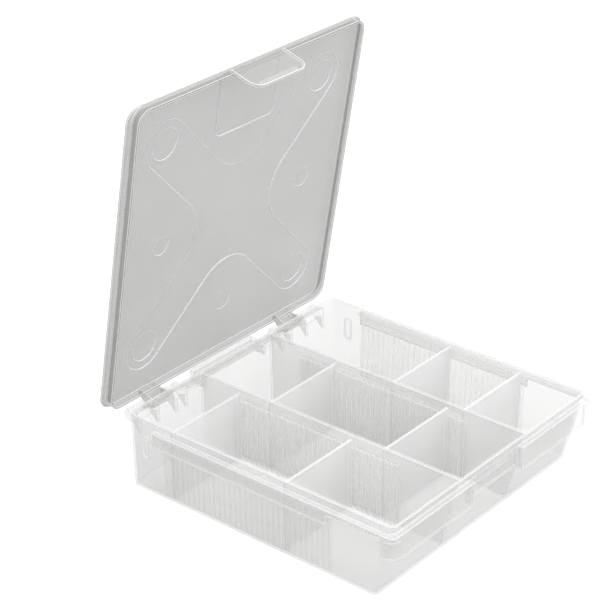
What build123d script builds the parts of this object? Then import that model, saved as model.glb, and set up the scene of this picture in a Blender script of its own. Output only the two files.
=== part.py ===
from build123d import *
import os

# Compartment storage box, in mm. The tray's underside is z = 0, the hinge runs along X
# at the +Y side and the latch is at the -Y side. The lid is drawn shut, then swung open.

# Tray
rim_height = 40.2        # underside to the top of the thin upstanding wall
rim_half_width = 77.4    # outer face of a side wall at the rim
rim_half_length = 78.6   # outer face of the hinge wall and of the front wall at the rim
wall = 1.2
floor = 1.4
side_draft = 1.0         # how far each wall leans in from the rim down to the base
front_draft = 9.6
back_draft = 0.9
corner_radius = 3.6      # of the walls at the rim
base_corner_radius = 2.6
base_rounding = 1.6

# Ledge round the outside, which the lid's rim sits on, and the skirts that hang from it
ledge_reach = 2.6        # sideways past the side walls
ledge_reach_ends = 2.2   # past the hinge wall and the front wall
ledge_drop = 3.8         # below the rim
ledge_thickness = 1.2
skirt_wall = 1.2
ledge_corner_radius = 3.5
skirt_corner_radius = 8.0  # of the low front skirt
short_skirt = 3.0        # below the ledge's top, along the whole ledge
ledge_short = 17.6       # from the hinge wall to where the side ledges stop
side_skirt = 7.6
side_skirt_start = 35.6  # from the front wall to where the side skirts start
front_skirt = 12.2
front_skirt_turn = 5.6   # how far back it runs after turning the left corner
front_skirt_short = 4.4  # from its right end to the right wall

# Fixed walls along the rows, and the grooves that the dividers drop into
row_wall = 1.4
row_wall_at = 26.1
row_wall_drop = 0.3
groove_pitch = 3.25
rib_width = 1.45
rib_depth = 1.1
rib_backing = 0.35
rib_drop_side = 9.0      # from the rim to the tops of the ribs on the side walls
rib_drop_row = 6.0       # the same on the row walls
groove_zone_front = -43.5
groove_zone_back = 57.5

# Loose dividers: row, which end of the row, and the y of each one
divider_places = {
    "left_back": (-1, 52.0, 0),
    "left_front": (-1, 52.0, 21),
    "middle_back": (0, 34.8, 0),
    "middle_front": (0, 34.8, 21),
    "right_back": (1, 1.2, 0),
    "right_front": (1, 1.2, 13),
}
divider_drop = 2.2       # from the rim to the top of a divider
divider_web = 1.1
divider_bead = 1.4       # thicker upright edge that fills the groove
divider_bead_width = 2.6
divider_clearance = 0.15
divider_lift = 0.1       # between a divider and the floor

# Hinge behind the hinge wall
pivot_behind = 5.9       # behind the hinge wall's outer face
pivot_drop = 7.0         # below the rim
knuckle_radius = 3.4
eye_radius = 3.0
pin_radius = 1.4
pin_length = 4.0
pin_clearance = 0.05
end_clearance = 0.4
arm_centre = 50.2
arm_width = 10.4
arm_clearance = 0.5      # between the lid's arm and the ledge's edge
outer_knuckle = 14.2
inner_knuckle = 8.6
gusset = 1.4
gusset_drop = 9.0
shelf_half_width = 23.0  # shelf between the two hinges
shelf_reach = 9.4
shelf_skirt = 7.0
bridge_reach = 7.0       # of the lower shelf that runs from it to each hinge
bridge_drop = 2.0
arch_from_back = 11.1    # from the hinge wall to the small raised arch on each side wall
arch_middle = 25.0
arch_height = 12.4
arch_width = 4.9
arch_line = 1.0

# Lid
lid_panel = 1.5
lid_rim = 1.2
lid_lip = 2.5            # how far the panel reaches past the rim on the left and right
lid_lip_thickness = 1.2
lid_gap_over_rim = 0.3
lid_seat_gap = 0.2
lid_corner_radius = 7.0
lid_edge_rounding = 0.8
lid_open = 80.5          # degrees from shut, as it stands here
relief_depth = 0.4
lobe_at = 55.2
lobe_radius = 12.4
arm_fillet = 22.0
foot_radius = 8.0
foot_depth = 0.4
spot_radius = 5.0
spot_depth = 0.25
spot_along = 51.9
spot_across = 51.2
window_half_width = 20.8
window_length = 33.0
window_corner = 4.0
window_depth = 0.6

# Latch flap on the lid's front edge, and the catch in the tray's front that it hooks under
latch_half_width = 18.5
latch_thickness = 1.3
latch_root_radius = 0.8
latch_root_gap = 0.15
latch_root_rise = 0.8    # above the lid's lower edge
latch_clearance = 0.4    # between the flap and the plane of the lid's rim
latch_corner = 6.0
latch_side_gap = 0.8
latch_rest = 7.5         # degrees, how far the free flap leans in
catch_recess = 3.0       # how far the catch lies behind the ledge's edge
catch_depth = 10.2       # below the ledge's top
hook_clearance = 1.2
hook_height = 1.6
hook_reach = 0.8
finger_lip = 2.0         # below the hook

ledge_top = rim_height - ledge_drop
ledge_half_width = rim_half_width + ledge_reach
ledge_half_length = rim_half_length + ledge_reach_ends
ledge_end = rim_half_length - ledge_short
side_skirt_front = side_skirt_start - rim_half_length
front_skirt_end = front_skirt_turn - rim_half_length
front_skirt_right = rim_half_width - front_skirt_short
row_wall_top = rim_height - row_wall_drop
pivot_y = rim_half_length + pivot_behind
pivot_z = rim_height - pivot_drop
panel_bottom = rim_height + lid_gap_over_rim
lid_top = panel_bottom + lid_panel
lid_bottom = ledge_top + lid_seat_gap
lid_half_width = ledge_half_width + lid_lip
catch_bottom = ledge_top - catch_depth
through = 200.0          # longer than anything it cuts


def box(x0, x1, y0, y1, z0, z1):
    """A box between two corners."""
    return Pos((x0 + x1) / 2, (y0 + y1) / 2, (z0 + z1) / 2) * Box(x1 - x0, y1 - y0, z1 - z0)


def side_lean(z):
    """How far the side walls have leaned in at height z."""
    return side_draft * (1 - z / rim_height)


def tray_outline(z, inset):
    """Outline of the walls' outer faces at height z, moved in by inset."""
    lean = 1 - z / rim_height
    front = rim_half_length - front_draft * lean - inset
    back = rim_half_length - back_draft * lean - inset
    half = rim_half_width - side_lean(z) - inset
    radius = corner_radius - (corner_radius - base_corner_radius) * lean - inset
    shape = RectangleRounded(2 * half, front + back, radius)
    return Pos(0, (back - front) / 2, z) * shape


def slab(half_x, half_y, radius, z0, z1):
    """A rounded rectangular plate between two heights."""
    return Pos(0, 0, z0) * extrude(RectangleRounded(2 * half_x, 2 * half_y, radius), z1 - z0)


def along_x(outline, x0, x1):
    """An outline drawn as (y, z), extruded from x0 to x1."""
    return Pos(x0, 0, 0) * extrude(Plane.YZ * outline, x1 - x0, dir=(1, 0, 0))


def along_y(outline, y0, y1):
    """An outline drawn as (x, z), extruded from y0 to y1."""
    return Pos(0, y0, 0) * extrude(Plane.XZ * outline, y1 - y0, dir=(0, 1, 0))


def disc_x(radius, x0, x1, y=pivot_y, z=pivot_z):
    """A round bar along X."""
    return Pos((x0 + x1) / 2, y, z) * Rot(0, 90, 0) * Cylinder(radius, x1 - x0)


def skirt(depth, y0, y1, radius=ledge_corner_radius):
    """The skirt that hangs from the ledge's edge, between two places along Y."""
    outside = slab(ledge_half_width, ledge_half_length, radius, ledge_top - depth, ledge_top)
    inside = slab(
        ledge_half_width - skirt_wall,
        ledge_half_length - skirt_wall,
        radius - skirt_wall,
        ledge_top - depth,
        ledge_top,
    )
    keep = box(-through, through, y0, y1, 0, rim_height)
    return (outside - inside) & keep


def hinge_corners():
    """The two places at the hinge wall's corners where there is no ledge."""
    inner = hinge_spans(1)[0][1]
    corner = box(inner, through, ledge_end, through, 0, rim_height)
    return corner + mirror(corner, Plane.YZ)


def latch_bay():
    """The room in the tray's front that the latch flap moves in."""
    half = latch_half_width + latch_side_gap
    return box(-half, half, -through, catch_recess - ledge_half_length, 0, ledge_top)


def catch():
    """The set-back piece of the front skirt that the hook goes under, and its two end walls."""
    half = latch_half_width + latch_side_gap
    face = catch_recess - ledge_half_length
    plate = box(-half, half, face, face + skirt_wall, catch_bottom, ledge_top)
    front = -ledge_half_length
    end = box(half, half + skirt_wall, front, face + skirt_wall, ledge_top - front_skirt, ledge_top)
    return plate + end + mirror(end, Plane.YZ)


def hinge_spans(side):
    """The x ranges of the outer knuckle, the lid's arm and the inner knuckle on one side."""
    arm_in = arm_centre - arm_width / 2
    arm_out = arm_centre + arm_width / 2
    spans = [
        (arm_out + end_clearance, arm_out + end_clearance + outer_knuckle),
        (arm_in, arm_out),
        (arm_in - end_clearance - inner_knuckle, arm_in - end_clearance),
    ]
    return [tuple(sorted((side * a, side * b))) for a, b in spans]


def tray_knuckle(x0, x1):
    """One knuckle on the tray, its web to the hinge wall and its two gussets."""
    root = rim_half_length - wall
    top = ledge_top - ledge_thickness / 2
    web = Polygon(
        (root, top), (pivot_y, pivot_z + knuckle_radius), (pivot_y, pivot_z - knuckle_radius), (root, pivot_z),
        align=None,
    )
    brace = Polygon(
        (root, pivot_z), (pivot_y, pivot_z - knuckle_radius + gusset), (root, pivot_z - gusset_drop), align=None
    )
    solid = disc_x(knuckle_radius, x0, x1) + along_x(web, x0, x1)
    return solid + along_x(brace, x0, x0 + gusset) + along_x(brace, x1 - gusset, x1)


def hinge_shelf():
    """The shelf between the two hinges, with its edge and ends turned down."""
    back = rim_half_length + shelf_reach
    root = rim_half_length - wall
    bottom = ledge_top - shelf_skirt
    shelf = box(-shelf_half_width, shelf_half_width, root, back, ledge_top - ledge_thickness, ledge_top)
    edge = box(-shelf_half_width, shelf_half_width, back - skirt_wall, back, bottom, ledge_top)
    end = box(shelf_half_width - skirt_wall, shelf_half_width, root, back, bottom, ledge_top)
    bridge = box(
        shelf_half_width - skirt_wall / 2,
        hinge_spans(1)[2][0] + skirt_wall / 2,
        root,
        rim_half_length + bridge_reach,
        ledge_top - bridge_drop - ledge_thickness,
        ledge_top - bridge_drop,
    )
    return shelf + edge + end + mirror(end, Plane.YZ) + bridge + mirror(bridge, Plane.YZ)


def side_arch():
    """A small raised arch on the outside of the right wall, near the hinge."""
    outer = SlotOverall(arch_height, arch_width)
    inner = SlotOverall(arch_height - 2 * arch_line, arch_width - 2 * arch_line)
    ring = Pos(rim_half_length - arch_from_back, arch_middle) * Rot(0, 0, 90) * (outer - inner)
    return along_x(ring, rim_half_width - side_draft, rim_half_width)


def make_tray():
    """The tray with its ledge, skirts, row walls, shelf and hinge knuckles."""
    outer = loft([tray_outline(0, 0), tray_outline(rim_height, 0)], ruled=True)
    outer = fillet(outer.faces().sort_by(Axis.Z)[0].edges(), base_rounding)
    above = rim_height + wall
    inner = loft([tray_outline(floor, wall), tray_outline(above, wall)], ruled=True)
    rows = box(-row_wall / 2, row_wall / 2, -through, through, floor / 2, row_wall_top)
    rows = (Pos(row_wall_at, 0, 0) * rows + Pos(-row_wall_at, 0, 0) * rows) & outer
    ledge = slab(
        ledge_half_width, ledge_half_length, ledge_corner_radius, ledge_top - ledge_thickness, ledge_top
    )
    edge = ledge + skirt(short_skirt, -through, through) - hinge_corners()
    edge += skirt(side_skirt, side_skirt_front, ledge_end)
    low = box(-through, front_skirt_right, -through, through, 0, rim_height)
    edge += skirt(front_skirt, -through, front_skirt_end, skirt_corner_radius) & low
    body = outer + (edge - latch_bay()) + catch()
    body += hinge_shelf() + side_arch() + mirror(side_arch(), Plane.YZ)
    for side in (-1, 1):
        outer_span, _, inner_span = hinge_spans(side)
        body += tray_knuckle(*outer_span) + tray_knuckle(*inner_span)
    body = body - inner + rows
    hole = pin_radius + pin_clearance
    for side in (-1, 1):
        arm = hinge_spans(side)[1]
        reach = pin_length + end_clearance
        body -= disc_x(hole, arm[0] - reach, arm[1] + reach)
    return body


def groove_ribs(y_first, wall_face_x, lean, rib_top):
    """Comb of upright ribs on one wall face: +lean for a face on the left that leans in."""
    def strip(depth):
        bottom = wall_face_x(floor)
        top = wall_face_x(rib_top)
        return Polygon((bottom, floor), (top, rib_top), (top + depth, rib_top), (bottom + depth, floor), align=None)

    comb = along_y(strip(lean * rib_backing), groove_zone_front, groove_zone_back)
    rib = strip(lean * (rib_depth + rib_backing))
    first = int((groove_zone_front - y_first) / groove_pitch) - 1
    last = int((groove_zone_back - y_first) / groove_pitch) + 1
    for count in range(first, last):
        middle = y_first + (count + 0.5) * groove_pitch
        y0 = middle - rib_width / 2
        y1 = middle + rib_width / 2
        if y0 >= groove_zone_front and y1 <= groove_zone_back:
            comb += along_y(rib, y0, y1)
    return comb


def row_first(row):
    """A groove's y in one row, which the row's dividers stand in."""
    return next(y for place, y, _ in divider_places.values() if place == row)


def make_grooves():
    """The ribbed faces of all rows: the side walls lean, and the row walls stand upright."""
    side_top = rim_height - rib_drop_side
    row_top = rim_height - rib_drop_row

    def side_face(side):
        return lambda z: side * (rim_half_width - side_lean(z) - wall)

    def row_face(x):
        return lambda z: x

    inner = row_wall_at - row_wall / 2
    outer = row_wall_at + row_wall / 2
    return [
        groove_ribs(row_first(-1), side_face(-1), 1, side_top),
        groove_ribs(row_first(-1), row_face(-outer), -1, row_top),
        groove_ribs(row_first(0), row_face(-inner), 1, row_top),
        groove_ribs(row_first(0), row_face(inner), -1, row_top),
        groove_ribs(row_first(1), row_face(outer), 1, row_top),
        groove_ribs(row_first(1), side_face(1), -1, side_top),
    ]


def make_divider(row, y):
    """A loose divider with its edges in the grooves; in a side row one edge follows the wall."""
    bottom = floor + divider_lift
    top = rim_height - divider_drop
    gap = rib_backing + divider_clearance
    if row == 0:
        low = [-(row_wall_at - row_wall / 2 - gap)] * 2
        high = [-x for x in low]
    else:
        upright = [row_wall_at + row_wall / 2 + gap] * 2
        leaning = [rim_half_width - side_lean(z) - wall - gap for z in (bottom, top)]
        low, high = (upright, leaning) if row > 0 else ([-x for x in leaning], [-x for x in upright])

    def plate(left, right, thickness):
        outline = Polygon(
            (left[0], bottom), (left[1], top), (right[1], top), (right[0], bottom), align=None
        )
        return along_y(outline, y - thickness / 2, y + thickness / 2)

    low_bead = plate(low, [x + divider_bead_width for x in low], divider_bead)
    high_bead = plate([x - divider_bead_width for x in high], high, divider_bead)
    return plate(low, high, divider_web) + low_bead + high_bead


def swing(shape, angle, y, z):
    """Turn a shape about a line along X; a positive angle lifts its -Y end."""
    return Pos(0, y, z) * Rot(-angle, 0, 0) * Pos(0, -y, -z) * shape


def relief_cross():
    """Outline of the cross on the lid: four diagonal arms that end in round lobes."""
    cross = Sketch()
    for sx in (-1, 1):
        for sy in (-1, 1):
            cross += Pos(sx * lobe_at, sy * lobe_at) * Circle(lobe_radius)
    for angle in (45, -45):
        cross += Rot(0, 0, angle) * Rectangle(2 * lobe_at * 2**0.5, 2 * lobe_radius)
    return fillet(cross.vertices().sort_by_distance((0, 0))[:4], arm_fillet)


def relief():
    """All that is sunk into the lid's inner face: the cross, its round feet, spots and the latch window."""
    def sunk(outline, depth):
        return Pos(0, 0, panel_bottom) * extrude(outline, depth)

    feet = [Pos(sx * lobe_at, sy * lobe_at) for sx in (-1, 1) for sy in (-1, 1)]
    spots = [Pos(0, spot_along), Pos(0, -spot_along), Pos(spot_across, 0), Pos(-spot_across, 0)]
    edge = -(ledge_half_length - lid_rim)
    window = Pos(0, edge + window_length / 2) * Rectangle(2 * window_half_width, window_length)
    window = fillet(window.vertices().group_by(Axis.Y)[-1], window_corner)
    cut = sunk(relief_cross(), relief_depth) + sunk(window, window_depth)
    for place in feet:
        cut += sunk(place * Circle(foot_radius), relief_depth + foot_depth)
    for place in spots:
        cut += sunk(place * Circle(spot_radius), spot_depth)
    return cut


def make_lid():
    """The lid, drawn shut: panel, rim, hinge arms with their pins, and the relief on its inner face."""
    lip_bottom = lid_top - lid_lip_thickness
    outer = slab(ledge_half_width, ledge_half_length, lid_corner_radius, lid_bottom, lip_bottom)
    lip = slab(lid_half_width, ledge_half_length, lid_corner_radius, lip_bottom, lid_top)
    outer += fillet(lip.faces().sort_by(Axis.Z)[-1].edges(), lid_edge_rounding)
    hollow = slab(
        ledge_half_width - lid_rim,
        ledge_half_length - lid_rim,
        lid_corner_radius - lid_rim,
        lid_bottom,
        panel_bottom,
    )
    lid = outer - hollow - relief()
    arm = Polygon(
        (ledge_half_length - lid_rim / 2, lid_bottom),
        (ledge_half_length - lid_rim / 2, lid_top - lid_edge_rounding),
        (pivot_y - lid_edge_rounding, lid_top - lid_edge_rounding),
        (pivot_y + eye_radius, pivot_z),
        (pivot_y - eye_radius, pivot_z),
        (ledge_half_length + arm_clearance, lid_bottom),
        align=None,
    )
    for side in (-1, 1):
        x0, x1 = hinge_spans(side)[1]
        lid += along_x(arm, x0, x1) + disc_x(eye_radius, x0, x1)
        lid += disc_x(pin_radius, x0 - pin_length, x1 + pin_length)
    return lid


def latch_root():
    """Where the flap bends, as y and z with the lid shut."""
    y = -(ledge_half_length + latch_root_gap + latch_root_radius)
    return y, lid_bottom + latch_root_rise


def make_latch():
    """The latch flap, drawn hanging straight down: a round root, the flap and the hook inside its tip."""
    inner = -(ledge_half_length + latch_clearance)
    root_y, root_z = latch_root()
    hook_top = catch_bottom - hook_clearance
    tip = hook_top - hook_height - finger_lip
    height = root_z - tip
    outline = Pos(0, tip + height / 2) * Rectangle(2 * latch_half_width, height)
    outline = fillet(outline.vertices().group_by(Axis.Y)[0], latch_corner)
    flap = along_y(outline, inner - latch_thickness, inner)
    root = disc_x(latch_root_radius, -latch_half_width, latch_half_width, root_y, root_z)
    half = latch_half_width - latch_corner
    hook = box(-half, half, inner - latch_thickness / 2, inner + hook_reach, hook_top - hook_height, hook_top)
    return flap + root + hook


def export_all():
    """Write every piece where it stands with the lid open."""
    os.makedirs("parts", exist_ok=True)
    export_step(make_tray(), "parts/tray.step")
    export_step(Compound(children=make_grooves()), "parts/divider_grooves.step")
    for name, (row, y_first, grooves) in divider_places.items():
        divider = make_divider(row, y_first - grooves * groove_pitch)
        export_step(divider, f"parts/divider_{name}.step")
    export_step(swing(make_lid(), lid_open, pivot_y, pivot_z), "parts/lid.step")
    latch = swing(make_latch(), -latch_rest, *latch_root())
    export_step(swing(latch, lid_open, pivot_y, pivot_z), "parts/latch.step")


export_all()
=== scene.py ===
import math

import bpy
from mathutils import Matrix, Vector


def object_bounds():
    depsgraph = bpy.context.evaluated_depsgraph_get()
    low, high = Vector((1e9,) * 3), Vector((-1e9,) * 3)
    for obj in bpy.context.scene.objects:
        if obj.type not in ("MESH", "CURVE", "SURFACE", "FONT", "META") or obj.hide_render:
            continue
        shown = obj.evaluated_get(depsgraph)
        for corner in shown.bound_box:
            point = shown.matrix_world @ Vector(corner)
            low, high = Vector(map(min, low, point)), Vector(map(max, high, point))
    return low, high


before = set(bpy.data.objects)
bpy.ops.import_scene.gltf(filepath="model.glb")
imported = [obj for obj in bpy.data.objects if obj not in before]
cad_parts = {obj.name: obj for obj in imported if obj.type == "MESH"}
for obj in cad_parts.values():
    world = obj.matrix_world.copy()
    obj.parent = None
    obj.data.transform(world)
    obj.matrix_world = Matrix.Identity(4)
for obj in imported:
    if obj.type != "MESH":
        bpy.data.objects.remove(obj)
cad_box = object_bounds()

# The tray, with the fixed walls of its rows, its ledge and its hinge knuckles: one thin moulding of
# unfilled polypropylene. The plastic is milky, so each wall lets most light through, and its edges
# gather light and stand out nearly white.


def linear(hex_colour):
    """An sRGB hex colour as linear red, green, blue and alpha."""
    parts = [int(hex_colour[i:i + 2], 16) / 255 for i in (1, 3, 5)]
    return [c / 12.92 if c <= 0.04045 else ((c + 0.055) / 1.055) ** 2.4 for c in parts] + [1.0]


def add_node(tree, kind, settings=None, links=None):
    """Adds a node. settings are attributes or input values by name, and links are the sockets that
    feed its inputs, by the input's name, or its number where several have one name.
    """
    node = tree.nodes.new(kind)
    for name, value in (settings or {}).items():
        if name in node.inputs:
            node.inputs[name].default_value = value
        else:
            setattr(node, name, value)
    for name, socket in (links or {}).items():
        tree.links.new(socket, node.inputs[name])
    return node


def moulded_polypropylene(name, body, haze, edge_haze, roughness, clouding=0.03, edge_width=0.0008):
    """Milky polypropylene, injection moulded: smooth, a little cloudy, with its edges painted white as a
    highlight.

    body is the plastic's colour, haze how much of the light one skin stops, edge_haze the same along
    the edges, clouding how far the haze varies from place to place, and edge_width how far an edge's
    brightness reaches.
    """
    flow_mark = 0.030  # across one slow cloud that the melt leaves as it fills the mould
    grain = 0.002  # across one fine speck of haze
    edge_starts = 0.995  # cosine between the skin's own direction and the rounded edge's
    edge_full = 0.90
    material = bpy.data.materials.new(name)
    material.use_nodes = True
    tree = material.node_tree
    tree.nodes.clear()

    # edges: where the rounded direction turns away from the skin's own
    rounded = add_node(tree, "ShaderNodeBevel", {"samples": 8, "Radius": edge_width})
    skin = add_node(tree, "ShaderNodeNewGeometry")
    turned = add_node(
        tree,
        "ShaderNodeVectorMath",
        {"operation": "DOT_PRODUCT"},
        {0: rounded.outputs["Normal"], 1: skin.outputs["Normal"]},
    )
    edge = add_node(
        tree,
        "ShaderNodeMapRange",
        {"From Min": edge_starts, "From Max": edge_full, "To Min": 0.0, "To Max": 1.0},
        {"Value": turned.outputs["Value"]},
    )

    # haze: slow clouding on the flat skin, and nearly opaque along the edges
    place = add_node(tree, "ShaderNodeTexCoord").outputs["Object"]
    flow = add_node(tree, "ShaderNodeTexNoise", {"Scale": 1 / flow_mark, "Detail": 2.0}, {"Vector": place})
    cloud = add_node(
        tree,
        "ShaderNodeMapRange",
        {
            "From Min": 0.35,
            "From Max": 0.65,
            "To Min": haze * (1 - clouding),
            "To Max": haze * (1 + clouding),
        },
        {"Value": flow.outputs["Fac"]},
    )
    stopped = add_node(
        tree,
        "ShaderNodeMix",
        {"data_type": "FLOAT", "B": edge_haze},
        {"Factor": edge.outputs["Result"], "A": cloud.outputs["Result"]},
    )

    # colour: the plastic's own, and white along the edges, a painted highlight for the light the edges
    # gather
    tint = add_node(tree, "ShaderNodeMix", {"data_type": "RGBA"}, {"Factor": edge.outputs["Result"]})
    body_colour, painted_edge_highlight = [socket for socket in tint.inputs if socket.type == "RGBA"]
    body_colour.default_value = linear(body)
    painted_edge_highlight.default_value = linear("#FFFFFF")
    colour = next(socket for socket in tint.outputs if socket.type == "RGBA")

    # surface: the mould's satin finish, with a ripple too faint to see as a pattern
    fine = add_node(tree, "ShaderNodeTexNoise", {"Scale": 1 / grain, "Detail": 1.0}, {"Vector": place})
    ripple = add_node(
        tree, "ShaderNodeBump", {"Strength": 0.02, "Distance": 0.0001}, {"Height": fine.outputs["Fac"]}
    )
    shader = add_node(
        tree,
        "ShaderNodeBsdfPrincipled",
        {"Roughness": roughness, "IOR": 1.49, "Specular IOR Level": 0.5},
        {"Base Color": colour, "Alpha": stopped.outputs["Result"], "Normal": ripple.outputs["Normal"]},
    )
    add_node(tree, "ShaderNodeOutputMaterial", links={"Surface": shader.outputs["BSDF"]})
    return material


def dress(node, material):
    """Gives a carried-over piece its finish."""
    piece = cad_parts[node]
    for slot in piece.material_slots:
        slot.material = material
    if not piece.material_slots:
        piece.data.materials.append(material)


tray_plastic = moulded_polypropylene(
    "tray_polypropylene", body="#E9E9E8", haze=0.27, edge_haze=0.97, roughness=0.28
)
dress("tray", tray_plastic)

# The ribbed faces that hold the dividers, of the same polypropylene and moulded in one with the tray.
# Their ribs are so close together that only a narrow edge of each catches the light, as fine upright
# stripes painted as highlights; their colour is also painted lighter than the tray's, lifting the shade
# among the ribs.
groove_plastic = moulded_polypropylene(
    "groove_polypropylene",
    body="#FAFAF9",
    haze=0.12,
    edge_haze=0.70,
    roughness=0.30,
    clouding=0.0,
    edge_width=0.0005,
)
dress("divider_grooves", groove_plastic)

# The six loose dividers, each a thin moulded plate of polypropylene with thicker upright edges, which
# drop into the grooves. Light reaches them from both sides, so their colour is painted whiter than the
# tray's as painted light.
divider_plastic = moulded_polypropylene(
    "divider_polypropylene", body="#FFFFFF", haze=0.42, edge_haze=0.95, roughness=0.30
)
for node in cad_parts:
    if node.startswith("divider_") and node != "divider_grooves":
        dress(node, divider_plastic)

# The lid, a flat panel of polypropylene with a shallow rim, hinged on stub pins at the back. It leans
# over the tray, so its inner face sees less light; its colour is painted greyer than the tray's as painted
# shade.
lid_plastic = moulded_polypropylene(
    "lid_polypropylene", body="#A6A6A4", haze=0.46, edge_haze=0.95, roughness=0.26, clouding=0.02
)
dress("lid", lid_plastic)

# The latch flap, of the lid's polypropylene, moulded on the lid's front edge on a thin bending strip.
# Its edge is painted white as a highlight, wider than the lid's, and its colour is painted a lighter grey
# than the lid's.
latch_plastic = moulded_polypropylene(
    "latch_polypropylene",
    body="#C0C0BE",
    haze=0.30,
    edge_haze=0.98,
    roughness=0.26,
    clouding=0.02,
    edge_width=0.0011,
)
dress("latch", latch_plastic)

# The floor, a wide sheet of matt white paper. What the camera sees of it is white, and it keeps a
# faint shadow of the box.
floor_half_side = 6.0
floor_gap = 0.0002  # below the tray's underside, so that the two faces don't share a plane
paper_glow = 0.74  # what the camera sees on top of the lit paper, up to white


def backdrop_level(tree, unseen, seen):
    """A strength: seen for what the camera sees, also in gloss and through plastic, else unseen."""
    path = add_node(tree, "ShaderNodeLightPath")
    ray = path.outputs["Is Camera Ray"]
    for other in ("Is Glossy Ray", "Is Transmission Ray"):
        links = {0: ray, 1: path.outputs[other]}
        ray = add_node(tree, "ShaderNodeMath", {"operation": "MAXIMUM"}, links).outputs["Value"]
    level = add_node(tree, "ShaderNodeMapRange", {"To Min": unseen, "To Max": seen}, {"Value": ray})
    return level.outputs["Result"]


paper = bpy.data.materials.new("white_paper")
paper.use_nodes = True
tree = paper.node_tree
tree.nodes.clear()
matt = add_node(tree, "ShaderNodeBsdfDiffuse", {"Color": linear("#AAAAAA")})
glow = add_node(
    tree,
    "ShaderNodeEmission",
    {"Color": linear("#FFFFFF")},
    {"Strength": backdrop_level(tree, unseen=0.0, seen=paper_glow)},
)
both = add_node(tree, "ShaderNodeAddShader", links={0: matt.outputs["BSDF"], 1: glow.outputs["Emission"]})
add_node(tree, "ShaderNodeOutputMaterial", links={"Surface": both.outputs["Shader"]})

corners = [(x * floor_half_side, y * floor_half_side, 0) for x, y in ((-1, -1), (1, -1), (1, 1), (-1, 1))]
sheet = bpy.data.meshes.new("floor")
sheet.from_pydata(corners, [], [(0, 1, 2, 3)])
sheet.materials.append(paper)
floor = bpy.data.objects.new("floor", sheet)
floor.location.z = cad_box[0][2] - floor_gap
bpy.context.scene.collection.objects.link(floor)

# The surround, an even white room. It lights the box from all sides at a plain level, and the camera
# sees it as white.
room_light = 0.88
world = bpy.data.worlds.new("surround")
world.use_nodes = True
bpy.context.scene.world = world
tree = world.node_tree
tree.nodes.clear()
sky = add_node(
    tree,
    "ShaderNodeBackground",
    {"Color": linear("#FFFFFF")},
    {"Strength": backdrop_level(tree, unseen=room_light, seen=1.0)},
)
add_node(tree, "ShaderNodeOutputWorld", links={"Surface": sky.outputs["Background"]})

# The lamps: one wide soft box above and to the left of the camera, and a weaker one opposite. They
# give the lid its sheen and the box its faint shadow.


def soft_box(name, place, aim, size, power):
    """A square area lamp at a place, turned towards a point."""
    lamp = bpy.data.lights.new(name, "AREA")
    lamp.size = size
    lamp.energy = power
    holder = bpy.data.objects.new(name, lamp)
    holder.location = place
    holder.rotation_euler = (Vector(aim) - Vector(place)).to_track_quat("-Z", "Y").to_euler()
    bpy.context.scene.collection.objects.link(holder)


middle = [(low + high) / 2 for low, high in zip(*cad_box)]
soft_box("key", place=(-0.5, -0.5, 1.5), aim=middle, size=1.0, power=11.0)
soft_box("fill", place=(0.9, -0.9, 0.7), aim=middle, size=0.8, power=3.0)

# The camera, at the photograph's viewing angle. Its angle, place and lens were found from the box's
# straight edges.
azimuth = math.radians(-50.73)
elevation = math.radians(27.32)
camera_place = (-0.6742, -0.5177, 0.5308)
level = math.cos(elevation)
back = Vector((math.sin(azimuth) * level, -math.cos(azimuth) * level, math.sin(elevation)))
right = Vector((math.cos(azimuth), math.sin(azimuth), 0.0))
up = back.cross(right)
eye = bpy.data.cameras.new("camera")
eye.sensor_width = 36.0
eye.lens = 121.5
camera = bpy.data.objects.new("camera", eye)
camera.matrix_world = Matrix.Translation(camera_place) @ Matrix((right, up, back)).transposed().to_4x4()
bpy.context.scene.collection.objects.link(camera)
bpy.context.scene.camera = camera

bpy.context.scene.view_settings.view_transform = "Standard"
# many thin walls stand one behind another, and each has two skins
bpy.context.scene.cycles.transparent_max_bounces = 48
